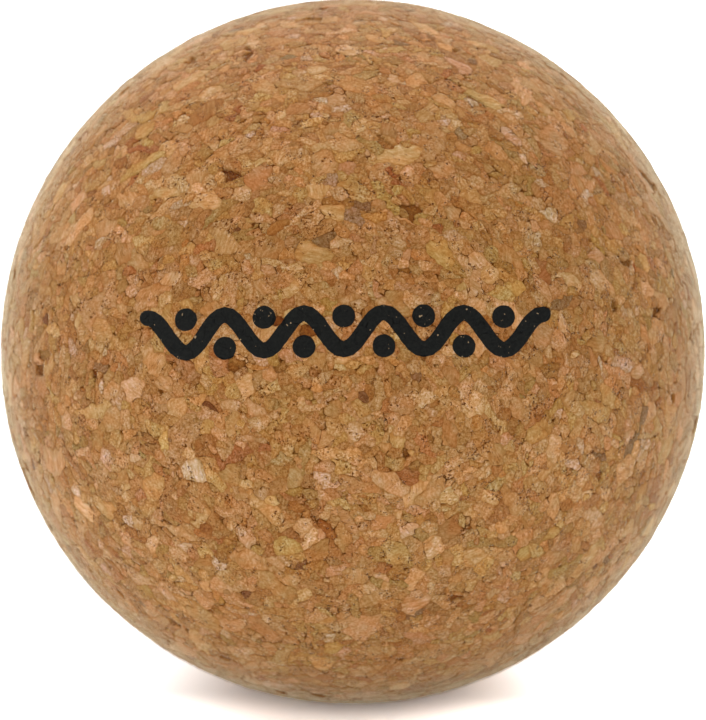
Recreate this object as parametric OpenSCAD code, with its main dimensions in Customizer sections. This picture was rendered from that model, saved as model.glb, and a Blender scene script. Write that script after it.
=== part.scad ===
// Massage ball of pressed cork: one solid ball, printed on one side with a plain wave border.
//
// Frame: millimetres, +Z up, origin at the centre of the ball. The ball rests on its lowest
// point, and is rolled so that the print faces -Y and a little upwards.

/* [Ball] */
// Diameter of the cork ball
ball_d = 65; // [50:1:120]

/* [Print] */
// Length of the wave border, measured straight across
print_len = 36; // [34:0.5:44]
// Height of the wave border, over its stroke
print_h = 4.6; // [4:0.1:4.8]
// Number of full waves in the border
wave_count = 5; // [2:1:5]
// Width of the wave's stroke
stroke_w = 1.4; // [0.8:0.1:1.4]
// Diameter of the dot in each bay of the wave
dot_d = 2; // [0.8:0.1:2]
// Thickness of the dry ink film
ink_t = 0.05; // [0.02:0.01:0.1]
// Angle of the middle of the print above the horizontal
print_lift = 21; // [0:0.5:90]
// Slope of the print line, rising to the right
print_slope = 1; // [-5:0.5:5]

/* [Hidden] */
$fn = 96;
ball_r = ball_d / 2;
wave_len = print_len - stroke_w;      // between the centres of the wave's two tips
period = wave_len / wave_count;
amplitude = (print_h - stroke_w) / 2;
dot_y = (print_h - dot_d) / 2;        // dots sit level with the wave's outer edge
steps = 16 * wave_count;              // straight pieces along the wave's centre line

// The wave's centre line has a trough in the middle. These give its height, and its
// direction in degrees, at x along the border.
function wave_y(x) = -amplitude * cos(360 * x / period);
function wave_angle(x) = atan(amplitude * 2 * PI / period * sin(360 * x / period));
function wave_x(i) = wave_len * (i / steps - 0.5);

// The point half a stroke away from step i, at an angle turned from the line's direction.
function stroke_point(i, turn) = [
    wave_x(i) + stroke_w / 2 * cos(wave_angle(wave_x(i)) + turn),
    wave_y(wave_x(i)) + stroke_w / 2 * sin(wave_angle(wave_x(i)) + turn)
];

// The stroke of the wave: its upper edge, right tip, lower edge and left tip in turn.
module wave_outline() {
    polygon([
        for (i = [0 : steps]) stroke_point(i, 90),
        for (turn = [75 : -15 : -75]) stroke_point(steps, turn),
        for (i = [steps : -1 : 0]) stroke_point(i, -90),
        for (turn = [-105 : -15 : -255]) stroke_point(0, turn)
    ]);
}

// One dot in each bay: above every trough and below every crest.
module dot_outlines() {
    for (bay = [1 - wave_count : wave_count - 1])
        translate([bay * period / 2, bay % 2 == 0 ? dot_y : -dot_y])
            circle(d = dot_d);
}

// Presses a flat outline onto the ball, as a film of ink that follows the ball's surface.
module ink_film() {
    intersection() {
        rotate([90 - print_lift, 0, 0])
            rotate([0, 0, print_slope])
                linear_extrude(ball_r + 1)
                    children();
        difference() {
            sphere(r = ball_r + ink_t);
            sphere(r = ball_r);
        }
    }
}

module cork_ball() {
    color([0.65, 0.46, 0.28]) sphere(r = ball_r);
}

module printed_wave() {
    color([0.09, 0.09, 0.08]) ink_film() wave_outline();
}

module printed_dots() {
    color([0.09, 0.09, 0.08]) ink_film() dot_outlines();
}

cork_ball();
printed_wave();
printed_dots();
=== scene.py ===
"""A massage ball of pressed cork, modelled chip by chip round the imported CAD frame.

The skin of the ball is one closed mesh. It starts as an even grid on the sphere, and is then
cut along the outlines of flattened cork chips, along the lips of the cracks between them and
round the print, so that each chip, crack, pit and printed line is real geometry.

Lengths inside the mesh code are millimetres, and meshes and the scene are in metres.
"""

import math

import bpy
import numpy as np
from mathutils import Matrix, Vector, kdtree, noise
from mathutils.bvhtree import BVHTree


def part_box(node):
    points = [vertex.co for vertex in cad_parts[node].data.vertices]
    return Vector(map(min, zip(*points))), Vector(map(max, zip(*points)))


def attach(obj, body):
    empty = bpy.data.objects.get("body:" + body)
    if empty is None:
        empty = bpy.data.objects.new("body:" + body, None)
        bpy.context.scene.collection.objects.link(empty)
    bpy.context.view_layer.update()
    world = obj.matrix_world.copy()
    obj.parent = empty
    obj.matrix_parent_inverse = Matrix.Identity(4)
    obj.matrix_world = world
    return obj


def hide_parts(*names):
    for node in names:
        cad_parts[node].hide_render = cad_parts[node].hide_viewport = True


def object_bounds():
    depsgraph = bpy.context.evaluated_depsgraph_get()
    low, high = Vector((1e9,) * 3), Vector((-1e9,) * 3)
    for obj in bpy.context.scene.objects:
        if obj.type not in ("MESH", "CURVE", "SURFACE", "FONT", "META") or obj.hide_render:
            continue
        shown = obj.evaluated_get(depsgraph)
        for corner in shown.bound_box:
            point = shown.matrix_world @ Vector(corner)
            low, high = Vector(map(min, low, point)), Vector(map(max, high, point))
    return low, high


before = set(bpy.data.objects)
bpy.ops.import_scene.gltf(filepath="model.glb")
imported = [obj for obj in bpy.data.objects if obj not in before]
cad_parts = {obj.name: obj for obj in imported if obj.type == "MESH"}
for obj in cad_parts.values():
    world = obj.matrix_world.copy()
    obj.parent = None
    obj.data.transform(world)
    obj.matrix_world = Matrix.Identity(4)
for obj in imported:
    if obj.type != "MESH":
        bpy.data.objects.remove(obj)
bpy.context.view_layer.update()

MM = 0.001
TINY = 1e-12

# ---- The ball and its print, as the CAD model has them
BALL_LOW, BALL_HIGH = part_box("cork_ball")
BALL_R = (BALL_HIGH.z - BALL_LOW.z) / 2 / MM
BALL_CENTRE = np.array((BALL_LOW + BALL_HIGH) / 2) / MM
PRINT_LOW, PRINT_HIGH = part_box("printed_wave")
PRINT_MIDDLE = Vector((PRINT_LOW + PRINT_HIGH) / 2 / MM).normalized()

# ---- Mesh code
GRID = 240                          # grid steps along a quarter of the ball's girth
GRID_STEP = BALL_R * math.pi / 2 / GRID
GRID_DECIMALS = 7                   # grid points that agree to this many decimals are one
CAD_DECIMALS = 5                    # and so are points of the CAD mesh
LEAST_SHARE = 0.08                  # a cut stays this share of an edge away from its ends
PARTS = 16                          # long sums are done in this many parts
UV_NAME = "OFBake"                  # the name of the texture map on the ball's skin

# ---- Pressed cork
SEED = 41
PRESS_AXIS = (-0.25, -0.90, -0.35)  # the block was pressed along this line
PRESS_FLATNESS = 0.76               # a chip's thickness along that line over its width
CHIP_SIZES = (                      # radius, and how many chips are tried
    (1.90, 2500),
    (1.40, 9000),
    (1.00, 16000),
    (0.66, 16000),
    (0.42, 16000),
    (0.26, 30000),
)
SMALL_CHIP = 0.70                   # chips up to this radius count as small
CHIP_GAP = 0.88                     # least distance between two chips over their radii
SKIN_DEPTH = 1.1                    # chips lie within this many radii of the surface
CHIP_PULL = 0.25                    # share of its radius by which a chip's outline is pushed out
CHIP_SKEW = 0.30                    # how far a chip's own shape strays from a ball
CHIP_SQUARE = 0.7                   # from 0 for a round chip to 1 for a block with flat faces
CHIP_RISE = 0.018                   # how far chips stand over or under their neighbours
NEAREST = 16                        # chips compared at each point
WARPS = (                           # wavelength and reach of the wobble in chip outlines
    (1.6, 0.20),
    (0.7, 0.17),
    (0.35, 0.12),
)
ROLLS = (                           # wavelength and height of the surface's roll
    (7.0, 0.028),
    (1.5, 0.015),
    (0.6, 0.011),
)
LOST_CHIPS = 0.015                  # share of the smallest chips that have crumbled out
LOST_DEPTH = (0.12, 0.32)
CRACK = -1                          # stands for a chip's number at a point in a crack
CRACK_HALF = 0.055                  # from the middle of a crack to its lip
CRACK_DEPTH = (0.015, 0.17)         # of a closed crack and of an open one
CRACK_NOISE = (                     # wavelength, offset and strength of the noise that opens cracks
    (2.2, 7.0, 0.5),
    (0.55, 3.0, 1.2),
)
CRACK_OPENING = (0.28, 0.90)        # a crack starts to open at the first value and is open at the second
LEAST_LINE = 0.21                   # how dark a closed crack is beside an open one

# ---- Print
PRINTED = ("printed_wave", "printed_dots")
INK_LIFT = 0.025                    # half the film's thickness
INK_MARGIN = 1.0                    # how far outside the outline the distance is still measured
INK_RAGGED = (0.5, 0.035)           # wavelength and reach of the print's rough edge
INK_LOWEST = -0.30                  # skin under this height takes no ink
OUTLINE_POINTS = 12                 # points along each edge of the print's outline
RAY_START = 0.9                     # rays out through the print start at this share of the radius

# ---- Colours of the chips
TONES = (                           # display RGB, and its weight among big and small chips
    ((0.645, 0.455, 0.270), 40, 34),  # tan
    ((0.672, 0.487, 0.308), 20, 14),  # light tan
    ((0.652, 0.474, 0.268), 13, 12),  # ochre
    ((0.684, 0.490, 0.316), 8, 5),    # peach
    ((0.610, 0.418, 0.235), 12, 14),  # brown
    ((0.655, 0.448, 0.252), 4, 5),    # orange tan
    ((0.615, 0.455, 0.268), 2, 3),    # olive
    ((0.705, 0.538, 0.395), 1, 2.5),  # cream
    ((0.600, 0.372, 0.205), 0, 1.3),  # rust
    ((0.525, 0.380, 0.245), 0.05, 0.3),  # grey brown
    ((0.455, 0.280, 0.150), 0, 0.15),  # bark
)
DISPLAY_GAMMA = 2.2
TONE_BY_SIZE = 0.022                # bigger chips are paler, per mm of radius
TONE_SPREAD = 0.027                 # how far a chip strays from its tone in lightness
HUE_SPREAD = 0.006                  # and in each of red, green and blue
DEEPEN = (0.88, 1.45, 2.85)         # red, green and blue darken by these powers of a shade
LOST_PIT_PAINTED_SHADE = (0.35, 0.80)           # span of painted shade on the floors of the pits of lost chips

# ---- Other colours, as linear RGBA
WARM_TINT = (1.035, 0.955, 0.87, 1)
COOL_TINT = (0.965, 1.045, 1.10, 1)
# dirt and painted shade down in the cracks
CRACK_DIRT_AND_SHADE = (0.115, 0.030, 0.003, 1)
SPLIT_TONE = (0.150, 0.048, 0.008, 1)
PORE_TONE = (0.090, 0.020, 0.002, 1)
# pale flecks: paler crumbs, and painted highlights
FLECK_AND_HIGHLIGHT_TONE = (0.640, 0.420, 0.210, 1)
# painted rim highlight, where the skin is seen edge on
RIM_HIGHLIGHT_TONE = (0.85, 0.62, 0.34, 1)
SHEEN_TINT = (1.0, 0.97, 0.72, 1)
INK_DARK = (0.0018, 0.0018, 0.0014, 1)
INK_LIGHT = (0.0100, 0.0100, 0.0080, 1)
PINHOLE_TONE = (0.30, 0.20, 0.11, 1)
WHITE = (1, 1, 1, 1)

# ---- Noise in the materials: waves per mm along each axis, detail and roughness
STREAKS = ((0.9, 4.5, 4.5), 3.0, 0.6)
RINGS = ((0.5, 0.5, 3.6), 2.0, 0.5)
SPLIT_LINES = ((0.5, 2.4, 2.4), 2.0, 0.6)
SPLIT_PLACES = ((1.1, 1.1, 1.1), 2.0, 0.6)
CLOUDS = ((0.7, 0.7, 0.7), 2.0, 0.5)
DRIFT = ((0.6, 0.6, 0.6), 2.0, 0.5)
DRIFT_OFFSET = (31.0, 17.0, 5.0)    # keeps the drift of the hue apart from the clouds
CRUMBLY_PLACES = ((0.6, 0.6, 0.6), 2.0, 0.6)
SPECKLE = ((5.0, 5.0, 5.0), 4.0, 0.8)
SPECKS = ((3.8, 3.8, 3.8), 3.0, 0.7)
MOTTLE = ((4.0, 4.0, 4.0), 3.0, 0.7)
PINHOLES = ((3.2, 3.2, 3.2), 1.0, 0.4)
MIDDLE = 0.5                        # the noise's middle value

# ---- Smooth steps in the materials: from which value to which, and the results there
CRUMBLY_STEP = (0.52, 0.62, 0.0, 1.0)
CLOUD_SHADE = (0.3, 0.7, 0.92, 1.08)
STREAK_SHADE = (0.25, 0.75, 0.80, 1.20)
RINGED_CHIPS = (0.70, 0.80, 0.0, 1.0)
RING_SHADE = (0.40, 0.56, 0.88, 1.03)
BORDER_SHADE = (0.35, 0.65, 0.04, 0.22)
TINT_STEP = (0.35, 0.65, 0.0, 1.0)
SPLIT_STEP = (0.50, 0.62, 0.0, 1.0)
SPLIT_WIDTH = (0.004, 0.022, 1.0, 0.0)
PORE_STEP = (0.0, 0.04, 0.0, 1.0)
FLECK_AND_HIGHLIGHT_STEP = (0.02, 0.06, 0.0, 0.35)
CRACK_BREAKS = (0.36, 0.56, 0.3, 1.0)
CRACK_STEP = (0.0, 0.5, 0.0, 0.92)
# painted rim highlight: from this facing on, the colour turns paler
RIM_HIGHLIGHT_STEP = (0.76, 1.0, 0.0, 0.20)
CORK_ROUGHNESS = (0.2, 0.8, 0.55, 0.80)
INK_STEP = (0.3, 0.75, 0.0, 1.0)
INK_ROUGHNESS = (0.3, 0.7, 0.55, 0.75)
PINHOLE_STEP = (0.745, 0.775, 0.0, 1.0)

# ---- Strengths in the materials
CRUMBLE_SMALL = 0.5                 # how crumbly small chips are, from 0 to 1
GRIT = (0.8, 4.3)                   # grit's strength in firm and in crumbly places
GRIT_SHADE = (0.3, 1.2)             # its darkest and lightest shades
LEAST_SPECK = (0.69, 0.575)         # specks show over this noise, in firm and in crumbly places
SPLIT_STRENGTH = 0.7
PORE_STRENGTH = 0.95
CORK_SPECULAR = 0.12
SHEEN_ROUGHNESS = 0.22
BUMP_DEPTH = 0.035
STREAK_BUMP = 0.8                   # height of streaks and depth of pores over the speckle's height
PORE_BUMP = 0.8
INK_SPECULAR = 0.12
INK_BUMP = 0.6

# ---- Studio, in metres and radians
FLOOR_SIZE = 6.0
FLOOR_TONE = 1.20                   # over 1, as the sweep is lit more strongly than the ball
FLOOR_TINT = (0.93, 1.0, 1.05)
FLOOR_FRONT = (0.003, 0.010, 2.1, 4.2)  # stretch before the ball, and the painted light the camera sees there, brighter further ahead
FLOOR_SIDE = (-0.010, 0.012, 1.0, 1.6)  # stretch to the right, and the factor of painted light on that brightness
TENT_LEVEL = 0.410                  # the tent's light square to its lean
TENT_LEAN = (-0.19, -0.15, 0.90)    # the light grows along this line
BOX_FROM = Vector((-0.12, 0.70, 0.70)).normalized()
BOX_STEP = (0.80, 0.94, 0.0, 2.4)   # cosines where the soft box ends and is full, and its light
BACKDROP = 1.0                      # how bright the camera sees the tent itself
CAMERA_RISE = math.radians(18)
CAMERA_TURN = math.radians(1.5)     # the camera stands this far to the right of the print
CAMERA_AWAY = 0.50
CAMERA_DROP = 0.0008                # the camera aims this far below the ball's centre
CAMERA_NEAR = 0.005                 # nothing closer to the camera than this is drawn
BALL_FILL = 0.980                   # the ball's width over the frame's long side
FOCUS_SHARE = 0.97                  # the focus is this share of the radius before the centre
APERTURE = 58                       # the lens's f-number


def unit(vectors):
    return vectors / np.linalg.norm(vectors, axis=-1, keepdims=True)


def smooth_step(x, low, high):
    t = np.clip((x - low) / (high - low), 0, 1)
    return t * t * (3 - 2 * t)


def wave_noise(points, wavelength, offset=0.0):
    """Smooth noise of about -1 to 1 at each point."""
    scaled = points / wavelength + offset
    return np.array([noise.noise(p) for p in scaled.tolist()])


def wave_noise_vectors(points, wavelength):
    """Three such numbers at each point."""
    return np.array([noise.noise_vector(p) for p in (points / wavelength).tolist()])


def tree_of(points):
    """A tree for finding the points nearest to a place."""
    tree = kdtree.KDTree(len(points))
    for k, point in enumerate(points):
        tree.insert(point, k)
    tree.balance()
    return tree


def in_parts(*arrays):
    """The arrays' rows in several smaller parts, so that a long sum fits in memory."""
    return zip(*(np.array_split(a, PARTS) for a in arrays), strict=True)


def turned(direction):
    """A rotation that takes +Z to a direction."""
    return np.array(Vector((0, 0, 1)).rotation_difference(Vector(direction)).to_matrix())


# ---- An even grid on a sphere, which is also its texture map
def square_to_sphere(u, v):
    """Unit directions for points of the square from -1 to 1. Areas keep their proportions,
    the middle becomes the north pole and the four corners become the south pole."""
    reach = np.abs(u) + np.abs(v)
    r = 1 - np.abs(1 - reach)
    turn = np.where(r > 0, (np.abs(v) - np.abs(u)) / np.maximum(r, TINY), 0)
    angle = (turn + 1) * math.pi / 4
    flat = r * np.sqrt(2 - r * r)
    x = np.where(u < 0, -1, 1) * flat * np.cos(angle)
    y = np.where(v < 0, -1, 1) * flat * np.sin(angle)
    z = np.where(reach > 1, -1, 1) * (1 - r * r)
    return np.stack([x, y, z], axis=1)


def sphere_grid(steps):
    """Points, triangles and each triangle's map corners, of a closed grid on the unit sphere."""
    side = 2 * steps
    i, j = np.meshgrid(np.arange(side + 1), np.arange(side + 1), indexing="ij")
    u, v = i.ravel() / steps - 1, j.ravel() / steps - 1
    a = (i[:-1, :-1] * (side + 1) + j[:-1, :-1]).ravel()
    b, c, d = a + side + 1, a + side + 2, a + 1
    # Each square is split in the direction of the map's fold, where |u| + |v| is 1.
    same_sign = ((i[:-1, :-1] < steps) == (j[:-1, :-1] < steps)).ravel()
    first = np.where(same_sign[:, None], np.stack([a, b, d], 1), np.stack([a, b, c], 1))
    second = np.where(same_sign[:, None], np.stack([b, c, d], 1), np.stack([a, c, d], 1))
    corners = np.concatenate([first, second])
    uv = np.stack([(u + 1) / 2, (v + 1) / 2], axis=1)[corners]
    points = square_to_sphere(u, v)
    _, keep, merged = np.unique(
        np.round(points, GRID_DECIMALS), axis=0, return_index=True, return_inverse=True
    )
    return points[keep], merged.ravel()[corners], uv


# ---- Cutting triangles
def triangle_edges(corners):
    """The three edges of each triangle, from corner to next corner."""
    return np.stack([corners, np.roll(corners, -1, axis=1)], axis=2)


class EdgeCuts:
    """One new point on each edge that a cut crosses."""

    def __init__(self, point_count, ends, share):
        self.point_count = point_count
        self.ends = ends            # lower and higher end of each cut edge, in order
        self.share = np.clip(share, LEAST_SHARE, 1 - LEAST_SHARE)
        self.keys = ends[:, 0] * point_count + ends[:, 1]

    def find(self, start, end):
        """The new point on each edge from start to end, and how far along it lies."""
        low, high = np.minimum(start, end), np.maximum(start, end)
        at = np.searchsorted(self.keys, low * self.point_count + high)
        share = self.share[at]
        return self.point_count + at, np.where(start == low, share, 1 - share)

    def mix(self, values):
        """Values at the new points, from values at the edges' ends."""
        share = self.share.reshape((-1,) + (1,) * (values.ndim - 1))
        return values[self.ends[:, 0]] * (1 - share) + values[self.ends[:, 1]] * share


def crossed_edges(corners, group):
    """Ends of every edge whose two ends are in different groups, each edge once, in order."""
    edges = triangle_edges(corners).reshape(-1, 2)
    edges = edges[group[edges[:, 0]] != group[edges[:, 1]]]
    return np.unique(np.sort(edges, axis=1), axis=0)


def turn_to_front(corners, uv, first):
    """Turns each triangle so that the corner numbered first comes first."""
    order = (first[:, None] + np.arange(3)) % 3
    rows = np.arange(len(corners))[:, None]
    return corners[rows, order], uv[rows, order]


def between(a, b, share):
    return a + (b - a) * share[:, None]


def stacked(triangles):
    """One array of triangles, from several groups of first, second and third corners."""
    return np.concatenate([np.stack(group, 1) for group in triangles])


def split_off_corner(corners, uv, cuts):
    """Cuts the first corner off each triangle. Gives the new triangles and their map corners."""
    o, p, q = corners.T
    m, share_m = cuts.find(o, p)
    n, share_n = cuts.find(o, q)
    uv_m = between(uv[:, 0], uv[:, 1], share_m)
    uv_n = between(uv[:, 0], uv[:, 2], share_n)
    new = [(o, m, n), (m, p, q), (m, q, n)]
    new_uv = [(uv[:, 0], uv_m, uv_n), (uv_m, uv[:, 1], uv[:, 2]), (uv_m, uv[:, 2], uv_n)]
    return stacked(new), stacked(new_uv)


def split_in_three(corners, uv, cuts, middles):
    """Cuts each triangle into two for each of its corners, round a point in its middle. Gives
    the new triangles and their map corners."""
    new, new_uv = [], []
    edge = [cuts.find(corners[:, k], corners[:, (k + 1) % 3]) for k in range(3)]
    edge_uv = [between(uv[:, k], uv[:, (k + 1) % 3], edge[k][1]) for k in range(3)]
    uv_middle = sum(edge_uv) / 3
    for k in range(3):
        before = (k + 2) % 3
        new += [(corners[:, k], edge[k][0], middles), (corners[:, k], middles, edge[before][0])]
        new_uv += [(uv[:, k], edge_uv[k], uv_middle), (uv[:, k], uv_middle, edge_uv[before])]
    return stacked(new), stacked(new_uv)


def odd_one_out(group):
    """Which of a triangle's three corners differs from the other two."""
    return np.where(group[:, 1] == group[:, 2], 0, np.where(group[:, 0] == group[:, 2], 1, 2))


def distance_to_segment(p, a, b):
    along = b - a
    t = np.clip(((p - a) * along).sum(1) / np.maximum((along * along).sum(1), TINY), 0, 1)
    return np.linalg.norm(p - a - along * t[:, None], axis=1)


# ---- Cork chips
def scatter_chips(rng, press):
    """Centres, in the stretched space where a pressed chip is round, and radii. The biggest
    chips are placed first, and each smaller size then fills the room left between them."""
    centres, radii = [], []
    for radius, tries in CHIP_SIZES:
        depth = rng.uniform(-1, 1, tries) * SKIN_DEPTH * radius
        spots = unit(rng.normal(size=(tries, 3))) * (BALL_R + depth)[:, None] @ press.T
        placed, rivals = tree_of(centres), tree_of(spots)
        reach = CHIP_GAP * (radius + CHIP_SIZES[0][0])
        taken = np.zeros(tries, bool)
        for k, spot in enumerate(spots.tolist()):
            around = placed.find_range(spot, reach)
            if any(gap < CHIP_GAP * (radius + radii[other]) for _, other, gap in around):
                continue
            rival = rivals.find_range(spot, CHIP_GAP * 2 * radius)
            taken[k] = not any(taken[other] for _, other, _ in rival)
        centres += spots[taken].tolist()
        radii += [radius] * int(taken.sum())
    return np.array(centres), np.array(radii)


class Chips:
    """The cork chips near the ball's surface, and which one a point belongs to."""

    def __init__(self, rng):
        axis = unit(np.array(PRESS_AXIS))
        self.press = np.eye(3) + np.outer(axis, axis) * (1 / PRESS_FLATNESS - 1)
        self.centres, self.sizes = scatter_chips(rng, self.press)
        count = len(self.sizes)
        skew = rng.normal(size=(count, 3, 3)) * CHIP_SKEW / 2
        turns = np.linalg.qr(rng.normal(size=(count, 3, 3)))[0]
        self.shape = turns @ (np.eye(3) + skew + skew.transpose(0, 2, 1))
        self.lost = (self.sizes <= CHIP_SIZES[-1][0]) & (rng.random(count) < LOST_CHIPS)
        self.rise = rng.normal(size=count) * CHIP_RISE
        self.rise[self.lost] = -rng.uniform(*LOST_DEPTH, self.lost.sum())
        self.pull = self.sizes * CHIP_PULL

    def space(self, points):
        """Points as the chips see them: pressed, and with the outlines' wobble."""
        for wavelength, reach in WARPS:
            points = points + wave_noise_vectors(points, wavelength) * reach
        return points @ self.press.T

    def distance(self, places, chip):
        """How far each place is outside its chip's surface."""
        away = np.einsum("...ij,...j->...i", self.shape[chip], places - self.centres[chip])
        ball = np.linalg.norm(away, axis=-1)
        block = np.abs(away).max(axis=-1)
        return ball + (block - ball) * CHIP_SQUARE - self.pull[chip]

    def nearest(self, places):
        """The chip that each place belongs to."""
        tree = tree_of(self.centres)
        near = np.array([[k for _, k, _ in tree.find_n(p, NEAREST)] for p in places.tolist()])
        best = [self.distance(p[:, None], k).argmin(1) for p, k in in_parts(places, near)]
        return near[np.arange(len(near)), np.concatenate(best)]


# ---- The skin of the ball
class Skin:
    """A triangle mesh of the ball's surface. Each layer holds one value for each point."""

    def __init__(self):
        directions, self.corners, self.uv = sphere_grid(GRID)
        place = directions @ turned(PRINT_MIDDLE).T * BALL_R
        self.layers = {"place": place}

    def __getitem__(self, layer):
        return self.layers[layer]

    def __setitem__(self, layer, values):
        self.layers[layer] = values

    def cut_points(self, group, share_of):
        """The cut points on all edges that join two groups of points."""
        ends = crossed_edges(self.corners, group)
        return EdgeCuts(len(self["place"]), ends, share_of(ends[:, 0], ends[:, 1]))

    def add_points(self, new):
        """Adds points, given as a dict of layers."""
        new["place"] = unit(new["place"]) * BALL_R
        for name, values in new.items():
            self[name] = np.concatenate([self[name], values])

    def replace_triangles(self, old, pieces):
        """Replaces the triangles marked in old by pieces of them."""
        self.corners = np.concatenate([self.corners[~old]] + [corners for corners, _ in pieces])
        self.uv = np.concatenate([self.uv[~old]] + [uv for _, uv in pieces])

    def split_corners(self, crossed, group, cuts):
        """Cuts the corner that differs from the other two off each crossed triangle."""
        first = odd_one_out(group[crossed])
        corners, uv = turn_to_front(self.corners[crossed], self.uv[crossed], first)
        return split_off_corner(corners, uv, cuts)

    def split_along_cracks(self, chips):
        """Cuts every triangle along the outlines of the chips."""
        spots = chips.space(self["place"])
        chip = chips.nearest(spots)

        def lead(here, there):
            """How much further a point here is from the chip there than from its own."""
            return chips.distance(spots[here], chip[there]) - chips.distance(spots[here], chip[here])

        def share(low, high):
            lead_low, lead_high = lead(low, high), lead(high, low)
            return lead_low / np.maximum(lead_low + lead_high, TINY)

        cuts = self.cut_points(chip, share)
        group = chip[self.corners]
        different = (group != np.roll(group, -1, axis=1)).sum(1)
        two, three = different == 2, different == 3
        pieces = [self.split_corners(two, group, cuts)]
        middle_ids = len(self["place"]) + len(cuts.share) + np.arange(three.sum())
        junctions = self.corners[three]
        pieces.append(split_in_three(junctions, self.uv[three], cuts, middle_ids))
        self.replace_triangles(two | three, pieces)
        self["chip"] = chip
        self["beside"] = np.stack([chip, chip, chip], axis=1)
        low, high = cuts.ends.T
        on_edges = {
            "place": cuts.mix(self["place"]),
            "chip": np.full(len(low), CRACK),
            "beside": np.stack([chip[low], chip[high], chip[high]], axis=1),
        }
        self.add_points(on_edges)
        around = [cuts.find(junctions[:, k], junctions[:, (k + 1) % 3])[0] for k in range(3)]
        self.add_points({
            "place": self["place"][np.stack(around, 1)].mean(1),
            "chip": np.full(three.sum(), CRACK),
            "beside": group[three],
        })

    def measure_from_cracks(self):
        """How far each point is from a crack. Points away from any count as one grid step."""
        place = self["place"]
        in_crack = self["chip"] == CRACK
        gap = np.where(in_crack, 0.0, GRID_STEP)
        for k in range(3):
            a, b, c = (self.corners[:, (k + s) % 3] for s in range(3))
            facing = in_crack[b] & in_crack[c] & ~in_crack[a]
            a, b, c = a[facing], b[facing], c[facing]
            np.minimum.at(gap, a, distance_to_segment(place[a], place[b], place[c]))
        self["gap"] = gap

    def split_at_zero(self, value):
        """Cuts every triangle along the line where a value, given at each point, is zero.
        Gives the values at the old points and the new ones. A new point takes its chip from
        the end of its edge that isn't in a crack."""
        above = value > 0
        cuts = self.cut_points(above, lambda low, high: value[low] / (value[low] - value[high]))
        group = above[self.corners]
        crossed = group.any(1) & ~group.all(1)
        self.replace_triangles(crossed, [self.split_corners(crossed, group, cuts)])
        low, high = cuts.ends.T
        keep = np.where(self["chip"][low] > self["chip"][high], low, high)
        new = {
            name: values[keep] if name in ("chip", "beside") else cuts.mix(values)
            for name, values in self.layers.items()
        }
        self.add_points(new)
        return np.concatenate([value, np.zeros(len(low))])

    def carve(self, chips):
        """Height of each point over the ball's nominal surface, and how dark its crack is."""
        place = self["place"]
        in_crack = 1 - np.clip(self["gap"] / CRACK_HALF, 0, 1)
        openness = sum(
            strength * wave_noise(place, wavelength, offset)
            for wavelength, offset, strength in CRACK_NOISE
        )
        opening = smooth_step(openness, *CRACK_OPENING)
        chip = np.where(self["chip"] == CRACK, self["beside"][:, 0], self["chip"])
        rise = np.where(self["chip"] == CRACK, chips.rise[self["beside"]].min(1), chips.rise[chip])
        depth = CRACK_DEPTH[0] + (CRACK_DEPTH[1] - CRACK_DEPTH[0]) * opening
        roll = sum(wave_noise(place, wavelength) * reach for wavelength, reach in ROLLS)
        self["height"] = rise + roll - depth * in_crack
        # The crack's darkness is dirt and painted shade in the groove, and it grows as the crack opens
        # and deepens.
        self["crack"] = in_crack * (LEAST_LINE + (1 - LEAST_LINE) * opening)
        self["edge"] = 1 - self["gap"] / GRID_STEP

    def chip_of_triangles(self):
        """The chip of each triangle. CRACK is below any chip's number, so it gives way."""
        return self["chip"][self.corners].max(1)


# ---- The print, cut out of the skin along the CAD print's outline
def outer_face(node):
    """Points and triangles of a printed CAD node's outer face, in mm from the ball's centre."""
    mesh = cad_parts[node].data
    mesh.calc_loop_triangles()
    points = np.array([v.co for v in mesh.vertices]) / MM - BALL_CENTRE
    points, merged = np.unique(np.round(points, CAD_DECIMALS), axis=0, return_inverse=True)
    radius = np.linalg.norm(points, axis=1)
    is_outer = radius > (radius.min() + radius.max()) / 2
    triangles = merged.ravel()[np.array([t.vertices for t in mesh.loop_triangles])]
    return points, triangles[is_outer[triangles].all(1)]


def outline_distance(points, triangles, places):
    """Distance of each place from the edge of a face on the ball, negative inside the face."""
    edges, uses = np.unique(
        np.sort(triangle_edges(triangles).reshape(-1, 2), axis=1), axis=0, return_counts=True
    )
    start, end = points[edges[uses == 1]].transpose(1, 0, 2)
    steps = np.linspace(0, 1, OUTLINE_POINTS)[:, None, None]
    edge_tree = tree_of(unit((start * (1 - steps) + end * steps).reshape(-1, 3)) * BALL_R)
    face = BVHTree.FromPolygons(points.tolist(), triangles.tolist())
    rays = [Vector(p) for p in places.tolist()]
    inside = [face.ray_cast(ray * RAY_START, ray)[0] is not None for ray in rays]
    gap = np.array([edge_tree.find(ray)[2] for ray in rays])
    return np.where(inside, -gap, gap)


def ink_value(skin, node):
    """Negative where the node's ink lies: inside its outline, but not down in deep pits."""
    points, triangles = outer_face(node)
    middle = points[triangles].reshape(-1, 3).mean(0)
    reach = np.linalg.norm(points - middle, axis=1).max() + INK_MARGIN
    place = skin["place"]
    near = np.linalg.norm(place - middle, axis=1) < reach
    value = np.full(len(place), INK_MARGIN)
    ragged = wave_noise(place[near], INK_RAGGED[0]) * INK_RAGGED[1]
    value[near] = outline_distance(points, triangles, place[near]) + ragged
    return np.maximum(value, INK_LOWEST - skin["height"])


def build_skin():
    """The ball's skin, and the ink value of each printed node at each of its points."""
    rng = np.random.default_rng(SEED)
    noise.seed_set(SEED)            # without this, noise_vector differs from run to run
    chips = Chips(rng)
    skin = Skin()
    skin.split_along_cracks(chips)
    skin.measure_from_cracks()
    skin.split_at_zero(skin["gap"] - CRACK_HALF)
    skin.carve(chips)
    for node in PRINTED:
        skin["ink_" + node] = skin.split_at_zero(ink_value(skin, node))
    return skin, chips, rng


# ---- Meshes
def metres(places):
    return (places + BALL_CENTRE) * MM


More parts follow.
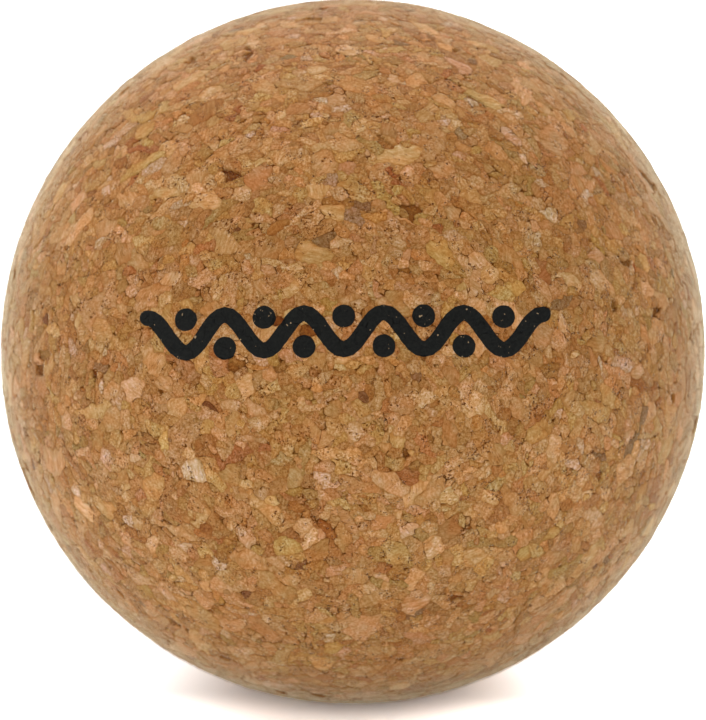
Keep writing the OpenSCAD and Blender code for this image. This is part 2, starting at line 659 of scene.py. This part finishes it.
def mesh_object(name, points, triangles):
    """A new object with a smooth triangle mesh, given in metres."""
    mesh = bpy.data.meshes.new(name)
    mesh.vertices.add(len(points))
    mesh.vertices.foreach_set("co", points.astype(np.float32).ravel())
    mesh.loops.add(triangles.size)
    mesh.loops.foreach_set("vertex_index", triangles.astype(np.int32).ravel())
    mesh.polygons.add(len(triangles))
    mesh.polygons.foreach_set("loop_start", np.arange(0, triangles.size, 3, dtype=np.int32))
    mesh.update(calc_edges=True)
    mesh.validate()
    mesh.shade_smooth()
    piece = bpy.data.objects.new(name, mesh)
    bpy.context.scene.collection.objects.link(piece)
    return piece


def attribute(piece, name, kind, domain, values):
    layer = piece.data.attributes.new(name, kind, domain)
    field = "value" if kind == "FLOAT" else "vector"
    layer.data.foreach_set(field, values.astype(np.float32).ravel())


def surface_points(skin, lift=0.0):
    """Points of the carved surface, or of a layer lifted over it."""
    return unit(skin["place"]) * (BALL_R + skin["height"] + lift)[:, None]


def cork_piece(skin, chips, rng):
    """The whole skin of the ball, as one closed mesh with each chip's own look on its faces."""
    piece = mesh_object("cork_chips", metres(surface_points(skin)), skin.corners)
    chip = skin.chip_of_triangles()
    count = len(chips.sizes)
    attribute(piece, "crack", "FLOAT", "POINT", skin["crack"])
    attribute(piece, "edge", "FLOAT", "POINT", skin["edge"])
    attribute(piece, "tone", "FLOAT_VECTOR", "FACE", chip_tones(rng, chips)[chip])
    attribute(piece, "turn", "FLOAT_VECTOR", "FACE", rng.uniform(0, 2 * math.pi, (count, 3))[chip])
    # The grain's X is a random number, and its Y is 1 for a small chip and 0 for a big one.
    grain = rng.random((count, 3))
    grain[:, 1] = chips.sizes <= SMALL_CHIP
    attribute(piece, "grain", "FLOAT_VECTOR", "FACE", grain[chip])
    uv_layer = piece.data.uv_layers.new(name=UV_NAME)
    uv_layer.data.foreach_set("uv", skin.uv.astype(np.float32).ravel())
    return piece


def ink_piece(skin, node):
    """A thin closed film over the skin's triangles inside a printed node's outline."""
    inside = (skin["ink_" + node] <= 0)[skin.corners].all(1)
    used, local = np.unique(skin.corners[inside], return_inverse=True)
    top = local.reshape(-1, 3)
    count = len(used)
    points = np.concatenate([
        surface_points(skin, INK_LIFT)[used],
        surface_points(skin, -INK_LIFT)[used],
    ])
    # An edge on the film's outline has no twin that runs the other way.
    edges = triangle_edges(top).reshape(-1, 2)
    keys = edges[:, 0] * count + edges[:, 1]
    back = edges[:, 1] * count + edges[:, 0]
    a, b = edges[~np.isin(keys, back)].T
    walls = [np.stack([b, a, a + count], 1), np.stack([b, a + count, b + count], 1)]
    triangles = np.concatenate([top, top[:, ::-1] + count] + walls)
    return mesh_object(node + "_film", metres(points), triangles)


def chip_tones(rng, chips):
    """A colour for each chip, as linear RGB."""
    count = len(chips.sizes)
    tones, big, small = zip(*TONES, strict=True)
    pick_big = rng.choice(len(TONES), count, p=np.array(big) / sum(big))
    pick_small = rng.choice(len(TONES), count, p=np.array(small) / sum(small))
    pick = np.where(chips.sizes > SMALL_CHIP, pick_big, pick_small)
    colour = np.array(tones)[pick] + rng.normal(size=(count, 1)) * TONE_SPREAD
    colour += rng.normal(size=(count, 3)) * HUE_SPREAD
    colour += (chips.sizes - chips.sizes.mean())[:, None] * TONE_BY_SIZE
    colour = np.clip(colour, 0, 1) ** DISPLAY_GAMMA
    # The pits of lost chips get painted shade: their colour is darkened by a shade from this span.
    shade = rng.uniform(*LOST_PIT_PAINTED_SHADE, (chips.lost.sum(), 1))
    colour[chips.lost] *= shade ** np.array(DEEPEN)
    return colour


# ---- Materials
class Nodes:
    """Short calls for building a node tree."""

    def __init__(self, tree):
        self.tree = tree

    def add(self, kind, settings=None, **inputs):
        """A node, with its settings and with values or links for its inputs."""
        made = self.tree.nodes.new(kind)
        for key, value in (settings or {}).items():
            setattr(made, key, value)
        for key, value in inputs.items():
            self.feed(made.inputs[key], value)
        return made

    def feed(self, socket, value):
        if isinstance(value, bpy.types.NodeSocket):
            self.tree.links.new(value, socket)
        else:
            socket.default_value = value

    def attribute(self, name, output):
        return self.add("ShaderNodeAttribute", {"attribute_name": name}).outputs[output]

    def maths(self, operation, *values):
        made = self.add("ShaderNodeMath", {"operation": operation})
        for socket, value in zip(made.inputs, values, strict=False):
            self.feed(socket, value)
        return made.outputs[0]

    def vector_maths(self, operation, *values, output="Vector"):
        made = self.add("ShaderNodeVectorMath", {"operation": operation})
        for socket, value in zip(made.inputs, values, strict=False):
            self.feed(socket, value)
        return made.outputs[output]

    def scale(self, vector, factor):
        return self.add(
            "ShaderNodeVectorMath", {"operation": "SCALE"}, Vector=vector, Scale=factor
        ).outputs[0]

    def millimetres(self):
        """The place on the object, in millimetres."""
        return self.scale(self.add("ShaderNodeTexCoord").outputs["Object"], 1 / MM)

    def noise(self, vector, scales, detail, roughness):
        """Smooth noise of about 0 to 1, with a scale for each axis."""
        stretched = self.vector_maths("MULTIPLY", vector, scales)
        return self.add(
            "ShaderNodeTexNoise", Vector=stretched, Scale=1.0, Detail=detail, Roughness=roughness
        ).outputs["Fac"]

    def ramp(self, value, low, high, to_low, to_high):
        """A smooth step of value from low to high."""
        made = self.add("ShaderNodeMapRange", {"interpolation_type": "SMOOTHSTEP"})
        for socket, number in zip(made.inputs, (value, low, high, to_low, to_high), strict=False):
            self.feed(socket, number)
        return made.outputs["Result"]

    def mix(self, share, first, second):
        """A colour between two colours."""
        made = self.add("ShaderNodeMix", {"data_type": "RGBA"})
        self.feed(made.inputs["Factor"], share)
        self.feed(made.inputs[6], first)
        self.feed(made.inputs[7], second)
        return made.outputs[2]

    def blend_numbers(self, share, first, second):
        """A number between two numbers."""
        made = self.add("ShaderNodeMix", {"data_type": "FLOAT"})
        self.feed(made.inputs["Factor"], share)
        self.feed(made.inputs[2], first)
        self.feed(made.inputs[3], second)
        return made.outputs[0]


def new_material(name):
    """A material, the maker of its nodes and its shader's inputs."""
    material = bpy.data.materials.new(name)
    material.use_nodes = True
    nodes = Nodes(material.node_tree)
    return material, nodes, nodes.tree.nodes["Principled BSDF"].inputs


class CorkFields:
    """What the parts of the cork's look share: places, each chip's own grain, and noise."""

    def __init__(self, nodes):
        self.place = nodes.millimetres()
        # Each chip has its own texture space, turned at random, so that its grain ends at its edge.
        self.own = nodes.add(
            "ShaderNodeVectorRotate",
            {"rotation_type": "EULER_XYZ"},
            Vector=self.place,
            Rotation=nodes.attribute("turn", "Vector"),
        ).outputs[0]
        grain = nodes.attribute("grain", "Vector")
        self.grain = nodes.add("ShaderNodeSeparateXYZ", Vector=grain).outputs
        self.streaks = nodes.noise(self.own, *STREAKS)
        self.clouds = nodes.noise(self.own, *CLOUDS)
        self.speckle = nodes.noise(self.place, *SPECKLE)
        # Crumbly places: all small chips, and patches of the rest.
        patches = nodes.ramp(nodes.noise(self.place, *CRUMBLY_PLACES), *CRUMBLY_STEP)
        small = nodes.maths("MULTIPLY", self.grain["Y"], CRUMBLE_SMALL)
        self.crumbly = nodes.maths("MAXIMUM", patches, small)


def chip_shade(nodes, cork):
    """How light each place on a chip is: clouds, streaks, grit, growth rings and a darker border."""
    clouds = nodes.ramp(cork.clouds, *CLOUD_SHADE)
    shade = nodes.maths("MULTIPLY", clouds, nodes.ramp(cork.streaks, *STREAK_SHADE))

    grit = nodes.maths("SUBTRACT", cork.speckle, MIDDLE)
    grit = nodes.maths("MULTIPLY", grit, nodes.blend_numbers(cork.crumbly, *GRIT))
    grit = nodes.maths("ADD", grit, 1.0)
    grit = nodes.maths("MINIMUM", nodes.maths("MAXIMUM", grit, GRIT_SHADE[0]), GRIT_SHADE[1])
    shade = nodes.maths("MULTIPLY", shade, grit)

    rings = nodes.ramp(nodes.noise(cork.own, *RINGS), *RING_SHADE)
    ringed = nodes.ramp(cork.grain["X"], *RINGED_CHIPS)
    shade = nodes.maths("MULTIPLY", shade, nodes.blend_numbers(ringed, 1.0, rings))

    width = nodes.ramp(cork.clouds, *BORDER_SHADE)
    border = nodes.maths("MULTIPLY", nodes.attribute("edge", "Fac"), width)
    return nodes.maths("MULTIPLY", shade, nodes.maths("SUBTRACT", 1.0, border))


def chip_colour(nodes, cork):
    """The chip's own tone, deepened by the shade, with a slow drift between warm and cool."""
    shade = chip_shade(nodes, cork)
    deepened = nodes.add("ShaderNodeCombineXYZ")
    for socket, power in zip(deepened.inputs, DEEPEN, strict=True):
        nodes.feed(socket, nodes.maths("POWER", shade, power))
    colour = nodes.vector_maths("MULTIPLY", nodes.attribute("tone", "Vector"), deepened.outputs[0])
    drift = nodes.noise(nodes.vector_maths("ADD", cork.own, DRIFT_OFFSET), *DRIFT)
    tint = nodes.mix(nodes.ramp(drift, *TINT_STEP), WARM_TINT, COOL_TINT)
    return nodes.vector_maths("MULTIPLY", colour, tint)


def with_splits(nodes, cork, colour):
    """Adds short dark lines along a chip's grain."""
    lines = nodes.noise(cork.own, *SPLIT_LINES)
    off_line = nodes.maths("ABSOLUTE", nodes.maths("SUBTRACT", lines, MIDDLE))
    here = nodes.ramp(nodes.noise(cork.place, *SPLIT_PLACES), *SPLIT_STEP)
    split = nodes.maths("MULTIPLY", nodes.ramp(off_line, *SPLIT_WIDTH), here)
    return nodes.mix(nodes.maths("MULTIPLY", split, SPLIT_STRENGTH), colour, SPLIT_TONE)


def with_specks(nodes, cork, colour):
    """Adds pale flecks, partly paler crumbs and partly painted highlights, and dark pores, most of them
    in crumbly places. Also gives the pores.
    """
    specks = nodes.noise(cork.place, *SPECKS)
    least = nodes.blend_numbers(cork.crumbly, *LEAST_SPECK)
    pore = nodes.ramp(nodes.maths("SUBTRACT", specks, least), *PORE_STEP)
    opposite = nodes.maths("SUBTRACT", 1.0, specks)
    # Pale flecks: partly paler crumbs, partly painted highlights.
    fleck_and_highlight = nodes.ramp(nodes.maths("SUBTRACT", opposite, least), *FLECK_AND_HIGHLIGHT_STEP)
    colour = nodes.mix(fleck_and_highlight, colour, FLECK_AND_HIGHLIGHT_TONE)
    return nodes.mix(nodes.maths("MULTIPLY", pore, PORE_STRENGTH), colour, PORE_TONE), pore


def with_cracks(nodes, cork, colour):
    """Adds the thin, dark and broken cracks between chips, whose dark colour is dirt and painted shade
    down in the grooves. Also gives the cracks.
    """
    broken = nodes.ramp(cork.speckle, *CRACK_BREAKS)
    crack = nodes.maths("MULTIPLY", nodes.attribute("crack", "Fac"), broken)
    crack = nodes.ramp(crack, *CRACK_STEP)
    return nodes.mix(crack, colour, CRACK_DIRT_AND_SHADE), crack


def with_painted_rim_highlight(nodes, colour):
    """Adds a painted rim highlight: the colour turns paler where the skin is seen edge on, standing in
    for the glare of the white surroundings at the ball's edge.
    """
    facing = nodes.add("ShaderNodeLayerWeight").outputs["Facing"]
    return nodes.mix(nodes.ramp(facing, *RIM_HIGHLIGHT_STEP), colour, RIM_HIGHLIGHT_TONE)


def cork_material():
    material, nodes, shader = new_material("pressed_cork")
    cork = CorkFields(nodes)
    colour = with_splits(nodes, cork, chip_colour(nodes, cork))
    colour, pore = with_specks(nodes, cork, colour)
    colour, crack = with_cracks(nodes, cork, colour)
    # The base colour carries a painted rim highlight where the skin is seen edge on.
    nodes.feed(shader["Base Color"], with_painted_rim_highlight(nodes, colour))
    nodes.feed(shader["Roughness"], nodes.ramp(cork.speckle, *CORK_ROUGHNESS))
    # Nothing shines down in the cracks and pores.
    dark = nodes.maths("MAXIMUM", crack, pore)
    nodes.feed(shader["Specular IOR Level"], nodes.blend_numbers(dark, CORK_SPECULAR, 0.0))
    nodes.feed(shader["Sheen Weight"], nodes.blend_numbers(dark, 1.0, 0.0))
    nodes.feed(shader["Sheen Roughness"], SHEEN_ROUGHNESS)
    nodes.feed(shader["Sheen Tint"], SHEEN_TINT)
    relief = nodes.maths("ADD", cork.speckle, nodes.maths("MULTIPLY", cork.streaks, STREAK_BUMP))
    relief = nodes.maths("SUBTRACT", relief, nodes.maths("MULTIPLY", pore, PORE_BUMP))
    bump = nodes.add("ShaderNodeBump", Height=relief, Distance=BUMP_DEPTH * MM, Strength=1.0)
    nodes.feed(shader["Normal"], bump.outputs[0])
    return material


def ink_material():
    material, nodes, shader = new_material("black_print")
    place = nodes.millimetres()
    mottle = nodes.noise(place, *MOTTLE)
    colour = nodes.mix(nodes.ramp(mottle, *INK_STEP), INK_DARK, INK_LIGHT)
    pinholes = nodes.ramp(nodes.noise(place, *PINHOLES), *PINHOLE_STEP)
    nodes.feed(shader["Base Color"], nodes.mix(pinholes, colour, PINHOLE_TONE))
    nodes.feed(shader["Roughness"], nodes.ramp(mottle, *INK_ROUGHNESS))
    nodes.feed(shader["Specular IOR Level"], INK_SPECULAR)
    bump = nodes.add("ShaderNodeBump", Height=mottle, Distance=BUMP_DEPTH * MM, Strength=INK_BUMP)
    nodes.feed(shader["Normal"], bump.outputs[0])
    return material


# ---- Studio
def floor_piece():
    """A white floor under the ball. The camera sees it overexposed, as a lit studio sweep is, with
    painted light that grows ahead of the ball and to the right.
    """
    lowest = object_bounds()[0].z
    bpy.ops.mesh.primitive_plane_add(size=FLOOR_SIZE, location=(0, 0, lowest))
    floor = bpy.context.object
    floor.name = "floor"
    material, nodes, _ = new_material("white_floor")
    seen = nodes.add("ShaderNodeLightPath").outputs["Is Camera Ray"]
    position = nodes.add("ShaderNodeNewGeometry").outputs["Position"]
    place = nodes.add("ShaderNodeSeparateXYZ", Vector=position).outputs
    # Painted light: the camera sees the floor brighter further ahead of the ball and towards the right,
    # so the ball's shadow fades sooner.
    ahead = nodes.maths("MULTIPLY", place["Y"], -1.0)
    front, side = nodes.ramp(ahead, *FLOOR_FRONT), nodes.ramp(place["X"], *FLOOR_SIDE)
    level = nodes.blend_numbers(seen, FLOOR_TONE, nodes.maths("MULTIPLY", front, side))
    diffuse = nodes.add("ShaderNodeBsdfDiffuse", Color=nodes.scale(FLOOR_TINT, level))
    nodes.feed(nodes.tree.nodes["Material Output"].inputs["Surface"], diffuse.outputs[0])
    floor.data.materials.append(material)


def soft_world():
    """A white tent of light, brighter overhead and to the left, and a soft box up behind the ball."""
    world = bpy.data.worlds.new("tent")
    bpy.context.scene.world = world
    world.use_nodes = True
    nodes = Nodes(world.node_tree)
    direction = nodes.add("ShaderNodeTexCoord").outputs["Generated"]
    lean = nodes.vector_maths("DOT_PRODUCT", direction, TENT_LEAN, output="Value")
    tent = nodes.maths("MAXIMUM", nodes.maths("ADD", lean, TENT_LEVEL), 0.0)
    towards_box = nodes.vector_maths("DOT_PRODUCT", direction, BOX_FROM, output="Value")
    box = nodes.ramp(towards_box, *BOX_STEP)
    seen = nodes.add("ShaderNodeLightPath").outputs["Is Camera Ray"]
    strength = nodes.blend_numbers(seen, nodes.maths("ADD", tent, box), BACKDROP)
    background = nodes.tree.nodes["Background"].inputs
    nodes.feed(background["Strength"], strength)
    nodes.feed(background["Color"], WHITE)


def photo_camera():
    """A long lens at the photograph's angle, with the ball nearly filling the frame."""
    camera = bpy.data.objects.new("camera", bpy.data.cameras.new("camera"))
    bpy.context.scene.collection.objects.link(camera)
    turn = Matrix.Rotation(CAMERA_TURN, 3, "Z")
    back = turn @ Vector((0, -math.cos(CAMERA_RISE), math.sin(CAMERA_RISE)))
    up = turn @ Vector((0, math.sin(CAMERA_RISE), math.cos(CAMERA_RISE)))
    centre = Vector(BALL_CENTRE) * MM
    camera.location = centre + back * CAMERA_AWAY - up * CAMERA_DROP
    camera.rotation_euler = (-back).to_track_quat("-Z", "Y").to_euler()
    half_angle = math.asin(BALL_R * MM / CAMERA_AWAY)
    camera.data.lens = BALL_FILL * camera.data.sensor_width / 2 / math.tan(half_angle)
    camera.data.clip_start = CAMERA_NEAR
    focus_near_side(camera, centre)
    bpy.context.scene.camera = camera


def focus_near_side(camera, centre):
    """Keeps the focus just inside the ball's near side, wherever the camera is moved."""
    middle = bpy.data.objects.new("middle", None)
    bpy.context.scene.collection.objects.link(middle)
    middle.location = centre
    camera.data.dof.use_dof = True
    camera.data.dof.aperture_fstop = APERTURE
    driver = camera.data.driver_add("dof.focus_distance").driver
    gap = driver.variables.new()
    gap.name = "gap"
    gap.type = "LOC_DIFF"
    gap.targets[0].id = camera
    gap.targets[1].id = middle
    driver.expression = f"gap - {BALL_R * MM * FOCUS_SHARE:.4f}"


def stand_in(piece, node, material):
    """Gives a piece its material, and puts it in the place of a CAD node."""
    piece.data.materials.append(material)
    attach(piece, "root")
    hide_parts(node)


def main():
    skin, chips, rng = build_skin()
    stand_in(cork_piece(skin, chips, rng), "cork_ball", cork_material())
    ink = ink_material()
    for node in PRINTED:
        stand_in(ink_piece(skin, node), node, ink)
    floor_piece()
    soft_world()
    photo_camera()
    bpy.context.scene.view_settings.view_transform = "Standard"


main()
